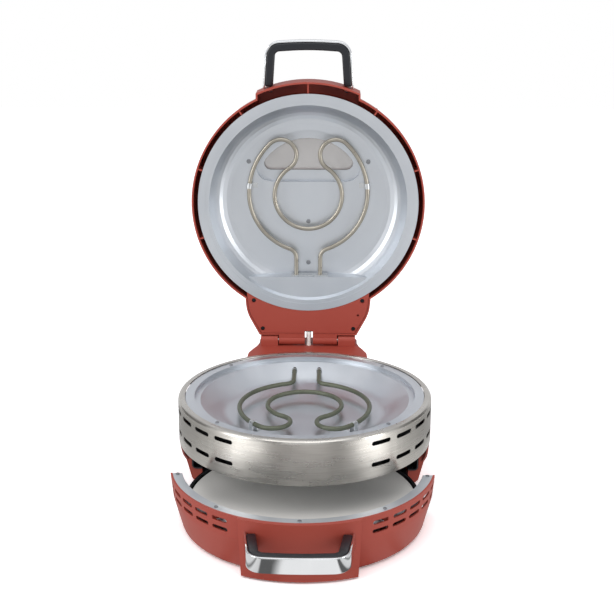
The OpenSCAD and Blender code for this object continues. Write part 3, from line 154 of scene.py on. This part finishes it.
seen = add(tree, "ShaderNodeMixShader", {0: rays.outputs["Is Camera Ray"], 1: mirrored.outputs[0],
                                         2: bright.outputs[0]})
tree.links.new(seen.outputs[0], tree.nodes["Material Output"].inputs["Surface"])
floor.data.materials.append(table)

room_light, room_seen = 0.8, 1.0
world = bpy.data.worlds.new("white_room")
bpy.context.scene.world = world
world.use_nodes = True
tree = world.node_tree
background = tree.nodes["Background"]
background.inputs["Color"].default_value = hex_colour("#fbfcff")
background.inputs["Strength"].default_value = room_light
rays = add(tree, "ShaderNodeLightPath")
room_white = add(tree, "ShaderNodeBackground", {"Color": (1, 1, 1, 1), "Strength": room_seen})
room_mix = add(tree, "ShaderNodeMixShader", {0: rays.outputs["Is Camera Ray"], 1: background.outputs[0],
                                             2: room_white.outputs[0]})
tree.links.new(room_mix.outputs[0], tree.nodes["World Output"].inputs["Surface"])


# Place, aim and size are in metres, and the power is in watts
def lamp(name, place, aim, size, power):
    bpy.ops.object.light_add(type="AREA", location=place)
    made = bpy.context.object
    made.name = name
    made.data.shape = "RECTANGLE"
    made.data.size, made.data.size_y = size
    made.data.energy = power
    made.rotation_euler = (Vector(place) - Vector(aim)).to_track_quat("Z", "Y").to_euler()


lamp("soft_top", (0, -0.7, 2.2), (0, 0, 0.2), (2.0, 1.4), 14)
lamp("soft_left", (-1.75, -1.0, 0.9), (0, 0, 0.2), (0.7, 1.8), 17)
lamp("soft_right", (1.75, -1.0, 0.4), (0, 0, 0.1), (0.6, 0.8), 10)

card_away, card_middle, card_tall = 1.9, 0.75, 1.6
card_grey, tree, shader = new_material("grey_card", Roughness=1.0)
shader.inputs["Base Color"].default_value = hex_colour("#6b6a69")
cards = (("card_left", -25, 0.5), ("card_right", 27, 0.5), ("card_far_left", -112, 1.6),
         ("card_far_right", 112, 1.6))
for name, angle, width in cards:
    turn = math.radians(angle)
    stand = (card_away * math.sin(turn), -card_away * math.cos(turn), card_middle)
    bpy.ops.mesh.primitive_plane_add(size=1, location=stand, rotation=(math.radians(90), 0, turn))
    card = bpy.context.object
    card.name = name
    card.scale = (width, card_tall, 1)
    card.data.materials.append(card_grey)
    card.visible_camera = card.visible_diffuse = card.visible_shadow = False


def object_place(tree, stretch=(1, 1, 1)):
    place = add(tree, "ShaderNodeTexCoord").outputs["Object"]
    return add(tree, "ShaderNodeMapping", {"Vector": place, "Scale": stretch}).outputs[0]


def noise(tree, place, size_mm, detail=4):
    grains = add(tree, "ShaderNodeTexNoise", {"Vector": place, "Scale": 1 / (size_mm * MM), "Detail": detail})
    return grains.outputs["Fac"]


# Most of a noise lies between these two levels, which become the low and the high value asked for
noise_low, noise_high = 0.35, 0.65


def between(tree, factor, low, high):
    levels = {0: factor, 1: noise_low, 2: noise_high, 3: low, 4: high}
    return add(tree, "ShaderNodeMapRange", levels).outputs[0]


def two_colours(tree, shader, factor, first, second):
    colours = {0: factor, 6: hex_colour(first), 7: hex_colour(second)}
    mixed = add(tree, "ShaderNodeMix", colours, data_type="RGBA")
    tree.links.new(mixed.outputs[2], shader.inputs["Base Color"])


def relief(tree, shader, height, depth_mm, strength=1.0):
    bump = add(tree, "ShaderNodeBump", {"Height": height, "Strength": strength, "Distance": depth_mm * MM})
    tree.links.new(bump.outputs[0], shader.inputs["Normal"])


def dress(material, *names):
    for name in names:
        for slot in nodes[name].material_slots:
            slot.material = material


terracotta, tree, shader = new_material("moulded_terracotta_plastic", IOR=1.42)
place = object_place(tree)
cloud = noise(tree, place, 120)
two_colours(tree, shader, cloud, "#963b2f", "#a04537")
tree.links.new(between(tree, cloud, 0.44, 0.54), shader.inputs["Roughness"])
relief(tree, shader, noise(tree, place, 0.9, 3), 0.05, 0.3)
dress(terracotta, "rear_shell", "rear_tower", "tower_cover", "drawer_shell", "lid_shell", "tail_cover")

# Brushed band
# A strip of stainless steel, brushed along its length, rolled to a hoop and lipped at the top. The
# strokes run round the hoop and stretch each reflection into an upright stripe.
brushed, tree, shader = new_material("brushed_stainless_steel", Metallic=1.0)
strokes = noise(tree, object_place(tree, (0.03, 0.03, 1)), 1.1, 5)
bands = noise(tree, object_place(tree, (0.2, 0.2, 1)), 9, 3)
two_colours(tree, shader, strokes, "#b3afa8", "#d8d5cf")
tree.links.new(between(tree, bands, 0.24, 0.34), shader.inputs["Roughness"])
shader.inputs["Anisotropic"].default_value = 0.75
shader.inputs["Anisotropic Rotation"].default_value = 0.25
tangent = add(tree, "ShaderNodeTangent", direction_type="RADIAL", axis="Z")
tree.links.new(tangent.outputs[0], shader.inputs["Tangent"])
relief(tree, shader, strokes, 0.02, 0.35)
dress(brushed, "steel_band")

# Pressed aluminium
# Pans, reflector, dish and drawer rim are pressed from soft aluminium sheet and left bare: satin,
# a little cloudy from the rolling mill, with fine handling marks.
aluminium, tree, shader = new_material("pressed_aluminium", Metallic=1.0)
place = object_place(tree)
cloud = noise(tree, place, 38, 5)
marks = noise(tree, object_place(tree, (1, 0.12, 1)), 1.6, 2)
two_colours(tree, shader, cloud, "#ccd1d7", "#dadde1")
tree.links.new(between(tree, cloud, 0.36, 0.48), shader.inputs["Roughness"])
relief(tree, shader, marks, 0.015, 0.25)
dress(aluminium, "upper_pan", "lid_reflector", "drawer_rim", "deck_ceiling", "hearth_reflector")

# Heaters
# Steel tube filled with a heating wire. The lower ones have baked to a dull olive; the lid's is
# still nickel bright with straw-coloured patches.
olive, tree, shader = new_material("olive_heater_tube", Metallic=0.35)
patches = noise(tree, object_place(tree), 14)
two_colours(tree, shader, patches, "#4d5243", "#6d7160")
tree.links.new(between(tree, patches, 0.36, 0.5), shader.inputs["Roughness"])
relief(tree, shader, noise(tree, object_place(tree), 0.6, 2), 0.03, 0.3)
dress(olive, "hearth_heater", "pan_heater", "ceiling_heater")
nickel, tree, shader = new_material("nickel_heater_tube", Metallic=1.0)
patches = noise(tree, object_place(tree), 16)
two_colours(tree, shader, patches, "#9d968a", "#b7b2a6")
tree.links.new(between(tree, patches, 0.26, 0.4), shader.inputs["Roughness"])
relief(tree, shader, noise(tree, object_place(tree), 0.7, 2), 0.03, 0.3)
dress(nickel, "lid_heater")

# Small plated parts
# Brackets, rails, pins and clips are zinc-plated steel with the plating's faint spangle. Clips and
# plates are pressed from sheet, and pins are cut from rod.
zinc, tree, shader = new_material("zinc_plated_steel", Metallic=1.0)
spangle = noise(tree, object_place(tree), 4, 3)
two_colours(tree, shader, spangle, "#bfc2c4", "#dcdedf")
tree.links.new(between(tree, spangle, 0.26, 0.4), shader.inputs["Roughness"])
dress(zinc, "base_plate", "hearth_clips", "slide_rails", "hinge_pins", "pan_clips", "pan_collars",
      "ceiling_clips", "drawer_runners", "terminal_plate", "lid_clips", "thermostats")

# Black enamel
# The drum, the liner and the stone's carrier are sheet steel, enamelled black in a kiln, smooth
# with a faint orange peel.
enamel, tree, shader = new_material("black_enamel", Coat_Weight=0.3, Coat_Roughness=0.2)
peel = noise(tree, object_place(tree), 2.2, 2)
two_colours(tree, shader, noise(tree, object_place(tree), 40), "#17181b", "#222328")
tree.links.new(between(tree, peel, 0.34, 0.44), shader.inputs["Roughness"])
relief(tree, shader, peel, 0.04, 0.3)
dress(enamel, "rear_liner", "band_drum", "stone_carrier")

# Black plastic and rubber
# Grips, knobs and the gland are moulded from heat-proof plastic with a fine grain. The feet and the
# window's gasket are matt rubber.
plastic, tree, shader = new_material("moulded_black_plastic", IOR=1.5)
two_colours(tree, shader, noise(tree, object_place(tree), 30), "#111319", "#191b21")
tree.links.new(between(tree, noise(tree, object_place(tree), 12), 0.34, 0.46), shader.inputs["Roughness"])
relief(tree, shader, noise(tree, object_place(tree), 0.8, 3), 0.04, 0.35)
dress(plastic, "cord_gland", "upper_knob", "lower_knob")
rubber, tree, shader = new_material("matt_black_rubber", IOR=1.5)
two_colours(tree, shader, noise(tree, object_place(tree), 6), "#202022", "#2c2c2e")
tree.links.new(between(tree, noise(tree, object_place(tree), 3), 0.7, 0.85), shader.inputs["Roughness"])
relief(tree, shader, noise(tree, object_place(tree), 0.5, 2), 0.05, 0.4)
dress(rubber, "feet", "window_gasket")

# Baking stone and terminal block
# The stone is pressed cordierite, matt and faintly freckled, and lies loose in its carrier. The
# terminal block is unglazed steatite.
stone, tree, shader = new_material("cordierite_stone")
grains = noise(tree, object_place(tree), 1.6, 5)
two_colours(tree, shader, grains, "#e4e1da", "#f2f0ec")
tree.links.new(between(tree, grains, 0.78, 0.92), shader.inputs["Roughness"])
relief(tree, shader, noise(tree, object_place(tree), 0.7, 4), 0.12, 0.5)
dress(stone, "pizza_stone")
ceramic, tree, shader = new_material("unglazed_steatite")
two_colours(tree, shader, noise(tree, object_place(tree), 8), "#ddd8cc", "#e9e5db")
tree.links.new(between(tree, noise(tree, object_place(tree), 3), 0.6, 0.75), shader.inputs["Roughness"])
relief(tree, shader, noise(tree, object_place(tree), 0.6, 2), 0.04, 0.3)
dress(ceramic, "terminal_block")

# Window and lamps
# The window is heat-proof glass with a warm smoky tint, laid on its gasket. The pilot lamps have
# moulded red lenses with facets.
glass, tree, shader = new_material("smoked_window_glass", Transmission_Weight=0.55, IOR=1.5)
two_colours(tree, shader, noise(tree, object_place(tree), 60), "#c2bfbd", "#d2d0cf")
tree.links.new(between(tree, noise(tree, object_place(tree), 25), 0.05, 0.14), shader.inputs["Roughness"])
dress(glass, "window_glass")
lens, tree, shader = new_material("red_lamp_lens", Transmission_Weight=0.4, IOR=1.5)
facet_size = 1.2
cells = add(tree, "ShaderNodeTexVoronoi", {"Vector": object_place(tree), "Scale": 1 / (facet_size * MM)})
facets = cells.outputs["Distance"]
two_colours(tree, shader, facets, "#b3281a", "#d8452f")
tree.links.new(between(tree, facets, 0.12, 0.25), shader.inputs["Roughness"])
relief(tree, shader, facets, 0.15, 0.6)
dress(lens, "pilot_lamps")

# Handles
# Each handle is a bent steel strap, chromed, with a moulded black grip seated against its inside.
# Both follow the same bent line, each at its own depth, and their long edges are rounded.
chrome, tree, shader = new_material("chromed_steel_strap", Metallic=1.0)
smear = noise(tree, object_place(tree, (1, 1, 0.2)), 18)
two_colours(tree, shader, smear, "#e2e4e6", "#f0f1f2")
tree.links.new(between(tree, smear, 0.04, 0.1), shader.inputs["Roughness"])


# An arc that rounds a corner, as points
def fillet(before, corner, after, radius, steps=9):
    one, two = (before - corner).normalized(), (after - corner).normalized()
    half = one.angle(two) / 2
    centre = corner + (one + two).normalized() * radius / math.sin(half)
    first, last = corner + one * radius / math.tan(half), corner + two * radius / math.tan(half)
    start, end = first - centre, last - centre
    swing = start.angle_signed(end)
    return [centre + Matrix.Rotation(-swing * i / steps, 2) @ start for i in range(steps + 1)]


# A slight bow from side to side, as points
def bow(before, middle, after, steps=8):
    first, last = (before + middle) / 2, (after + middle) / 2
    return [first * (1 - t) ** 2 + middle * 2 * t * (1 - t) + last * t * t
            for t in (i / steps for i in range(steps + 1))]


# The handle's bent line, from foot to foot, as far inside the strap's outer face as inset
def handle_line(half, taper, foot, front, bulge, radius, inset):
    base = Vector((half - inset, -foot))
    corner = Vector((half - inset - taper, -front + inset))
    middle = Vector((0, -front + inset - bulge))
    other = Vector((-corner.x, corner.y))
    line = [base] + fillet(base, corner, middle, radius - inset) + bow(corner, middle, other)
    line += fillet(middle, other, Vector((-base.x, base.y)), radius - inset) + [Vector((-base.x, base.y))]
    return line


# A flat rectangle is extruded along the line, mitred at each point, and its long edges are rounded
def sweep_bar(name, line, wide, high, edge, place, material, body, node):
    bpy.ops.mesh.primitive_plane_add(size=1, location=(0, 0, 0))
    bar = bpy.context.object
    bar.name = name
    bpy.ops.object.mode_set(mode="EDIT")
    bpy.ops.mesh.select_all(action="SELECT")
    ways = [(b - a).normalized() for a, b in zip(line, line[1:])]
    across = Vector((-ways[0].y, ways[0].x, 0)) * wide * MM
    mesh = bmesh.from_edit_mesh(bar.data)
    start = Vector((line[0].x, line[0].y, 0)) * MM
    rise = Vector((0, 0, high)) * MM
    for vert, corner in zip(mesh.faces[:][0].verts, ((-0.5, -0.5), (0.5, -0.5), (0.5, 0.5), (-0.5, 0.5))):
        vert.co = start + across * corner[0] + rise * corner[1]
    bmesh.update_edit_mesh(bar.data)
    for i in range(1, len(line)):
        step = (line[i] - line[i - 1]) * MM
        into, out = ways[i - 1], ways[min(i, len(ways) - 1)]
        mean = (into + out).normalized()
        bpy.ops.mesh.extrude_region_move(TRANSFORM_OT_translate={"value": (step.x, step.y, 0)})
        mesh = bmesh.from_edit_mesh(bar.data)
        picked = [v for v in mesh.verts if v.select]
        centre = Vector((line[i].x, line[i].y, 0)) * MM
        side = Vector((-mean.y, mean.x, 0))
        reach = 0.5 * wide * MM / mean.dot(into)
        for vert in picked:
            sign = 1 if (vert.co - centre).dot(side) > 0 else -1
            vert.co = centre + side * sign * reach + Vector((0, 0, vert.co.z))
        bmesh.update_edit_mesh(bar.data)
    bpy.ops.mesh.select_all(action="SELECT")
    bpy.ops.mesh.normals_make_consistent(inside=False)
    bpy.ops.object.mode_set(mode="OBJECT")
    bar.data.transform(place)
    round_edges = bar.modifiers.new("round", "BEVEL")
    round_edges.width = edge * MM
    round_edges.segments = 3
    round_edges.limit_method = "ANGLE"
    round_edges.angle_limit = math.radians(50)
    bpy.ops.object.modifier_apply(modifier="round")
    bpy.ops.object.shade_smooth_by_angle(angle=math.radians(40))
    bar.data.materials.clear()
    bar.data.materials.append(material)
    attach(bar, body)
    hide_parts(node)


handle_half, handle_high, corner_round, bulge = 67, 20.5, 22, 3.5
strap_wide, strap_edge = 2.6, 0.7
grip_wide, grip_edge, grip_play = 12, 2.6, 0.05
foot_clear = 1.2
drawer_out, drawer_grip_level = 101, 53
hinge_y, hinge_z = 214.2, 145.7
lid_grip_level = 165.0
drawer_place = Matrix.Translation(Vector((0, -drawer_out, drawer_grip_level)) * MM)
# The lid's handle is drawn with the lid shut, and is turned up round the hinge with it
to_hinge = Matrix.Translation(Vector((0, hinge_y, hinge_z)) * MM)
turn_up = Matrix.Rotation(math.radians(-90), 4, "X")
from_hinge = Matrix.Translation(Vector((0, -hinge_y, lid_grip_level - hinge_z)) * MM)
lid_place = to_hinge @ turn_up @ from_hinge
# Name, radius of the shell's face, reach from it, taper, place and body
handles = (("drawer", 178.5, 51.3, 7.5, drawer_place, "drawer"),
           ("lid", 182.3, 56.3, 4.0, lid_place, "lid"))
# Name, depth of its middle, width, rounding and material
bars = (("strap", strap_wide / 2, strap_wide, strap_edge, chrome),
        ("grip", strap_wide + grip_wide / 2, grip_wide - grip_play, grip_edge, plastic))
for name, face, reach, taper, place, body in handles:
    for part, inset, wide, edge, material in bars:
        foot = math.sqrt(face * face - (handle_half - inset) ** 2) + foot_clear
        line = handle_line(handle_half, taper, foot, face + reach, bulge, corner_round, inset)
        sweep_bar("%s_handle_%s" % (name, part), line, wide, handle_high, edge, place, material, body,
                  "%s_%s" % (name, part))

# Screws
# Pan heads with a cross recess, zinc plated, and blackened on the lid's tail and the tower's cover.
# For each group one head is modelled and copied to its places, on the side that it is driven from.
screw_black, tree, shader = new_material("blackened_screw_steel", Metallic=0.8)
two_colours(tree, shader, noise(tree, object_place(tree), 3), "#26272a", "#36373b")
tree.links.new(between(tree, noise(tree, object_place(tree), 1.5), 0.35, 0.5), shader.inputs["Roughness"])
screw_zinc, tree, shader = new_material("zinc_screw_steel", Metallic=1.0)
two_colours(tree, shader, noise(tree, object_place(tree), 3), "#85878b", "#a6a8ac")
tree.links.new(between(tree, noise(tree, object_place(tree), 1.5), 0.28, 0.42), shader.inputs["Roughness"])


dome_share = 0.55
slot_shares = (1.15, 0.26, 0.9)


def screw_head(radius, height):
    bpy.ops.mesh.primitive_cylinder_add(vertices=28, radius=radius * MM, depth=height * MM,
                                        location=(0, 0, height * MM / 2))
    head = bpy.context.object
    bpy.ops.object.transform_apply(location=True, rotation=False, scale=False)
    dome = head.modifiers.new("dome", "BEVEL")
    dome.width = dome_share * height * MM
    dome.segments = 4
    dome.limit_method = "ANGLE"
    bpy.ops.object.modifier_apply(modifier="dome")
    slot_long, slot_wide, slot_deep = slot_shares
    for turn in (0, 90):
        bpy.ops.mesh.primitive_cube_add(size=1, location=(0, 0, height * MM),
                                        rotation=(0, 0, math.radians(turn)))
        cutter = bpy.context.object
        cutter.scale = (slot_long * radius * MM, slot_wide * radius * MM, slot_deep * height * MM)
        bpy.context.view_layer.objects.active = head
        cut = head.modifiers.new("cross", "BOOLEAN")
        cut.operation = "DIFFERENCE"
        cut.object = cutter
        bpy.ops.object.modifier_apply(modifier="cross")
        bpy.data.objects.remove(cutter, do_unlink=True)
    return head


def screw_set(name, radius, height, spots, material, body, node):
    head = screw_head(radius, height)
    copies = []
    for spot, way in spots:
        copy = head.copy()
        copy.data = head.data.copy()
        bpy.context.collection.objects.link(copy)
        turn = Vector(way).to_track_quat("Z", "Y").to_matrix().to_4x4()
        copy.data.transform(Matrix.Translation(Vector(spot) * MM) @ turn)
        copies.append(copy)
    bpy.data.objects.remove(head, do_unlink=True)
    bpy.ops.object.select_all(action="DESELECT")
    for copy in copies:
        copy.select_set(True)
    bpy.context.view_layer.objects.active = copies[0]
    bpy.ops.object.join()
    joined = bpy.context.object
    joined.name = name
    bpy.ops.object.shade_smooth_by_angle(angle=math.radians(35))
    joined.data.materials.clear()
    joined.data.materials.append(material)
    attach(joined, body)
    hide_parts(node)


# A place on a circle round the oven's middle, by its angle from the front
def around(radius, angle, forward, level):
    turn = math.radians(angle)
    return (radius * math.sin(turn), -radius * math.cos(turn) - forward, level)


# Where the heads sit: radius and height of each, then its places
up, to_front, to_back = (0, 0, 1), (0, -1, 0), (0, 1, 0)
rim_head, rim_circle, rim_top, rim_angles = (2.7, 1.05), 165.45, 76.9, (-78, -38.6, 0, 38.6, 78)
screw_set("drawer_rim_screw_heads", *rim_head,
          [(around(rim_circle, angle, drawer_out, rim_top), up) for angle in rim_angles],
          screw_zinc, "drawer", "rim_screws")
pan_head, pan_circle, pan_top, pan_angles = (2.7, 1.05), 157.5, 139.2, (45, 135, 225, 315)
screw_set("pan_screw_heads", *pan_head,
          [(around(pan_circle, angle, 0, pan_top), up) for angle in pan_angles],
          screw_zinc, "base", "pan_screws")


# The lid's places are those of the shut lid, turned up with it: back becomes down, up becomes back
def on_open_lid(x, y, level):
    return (x, hinge_y + level - hinge_z, hinge_z + hinge_y - y)


reflector_head, reflector_level = (3.4, 1.75), 173
reflector_places = ((-90.4, -60.3), (90.4, -60.3), (0, 31.8), (0, 96.8))
screw_set("reflector_screw_heads", *reflector_head,
          [(on_open_lid(x, y, reflector_level), to_front) for x, y in reflector_places],
          screw_zinc, "lid", "reflector_screws")
tail_head, tail_level, tail_places = (2.85, 1.75), 144.3, ((83.3, 149.8), (69.9, 195))
screw_set("tail_screw_heads", *tail_head,
          [(on_open_lid(side * x, y, tail_level), to_front) for side in (-1, 1) for x, y in tail_places],
          screw_black, "lid", "tail_screws")
cover_head, cover_side, cover_back = (2.7, 1.75), 64, 252.7
cover_low, cover_high = (corner[2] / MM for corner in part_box("tower_cover_screws")[:2])
cover_levels = (cover_low + cover_head[0], cover_high - cover_head[0])
screw_set("tower_cover_screw_heads", *cover_head,
          [((side * cover_side, cover_back, level), to_back) for side in (-1, 1) for level in cover_levels],
          screw_black, "base", "tower_cover_screws")

# Handle screws
# Two zinc screws hold each handle. They are driven from inside the shell, through its bosses, into
# the handle's feet, so only the lid's show, and only when it is open.
dress(screw_zinc, "drawer_handle_screws", "lid_handle_screws")

# Lid cable
# The wires to the lid run through the middle of the hinge in a braided sleeve of white glass yarn.
# The sleeve is the solid's plain tube, and its slanting strands are drawn as relief.
braid, tree, shader = new_material("braided_glass_sleeve", Roughness=0.85)
place = object_place(tree)
two_colours(tree, shader, noise(tree, place, 1.2), "#d9d7d1", "#f4f3ee")
strand_scale, strand_stray = 260.0, 1.5
waves = {"Vector": place, "Scale": strand_scale, "Distortion": strand_stray}
strands = add(tree, "ShaderNodeTexWave", waves, bands_direction="DIAGONAL")
relief(tree, shader, strands.outputs[0], 0.3, 0.6)
dress(braid, "lid_cable")
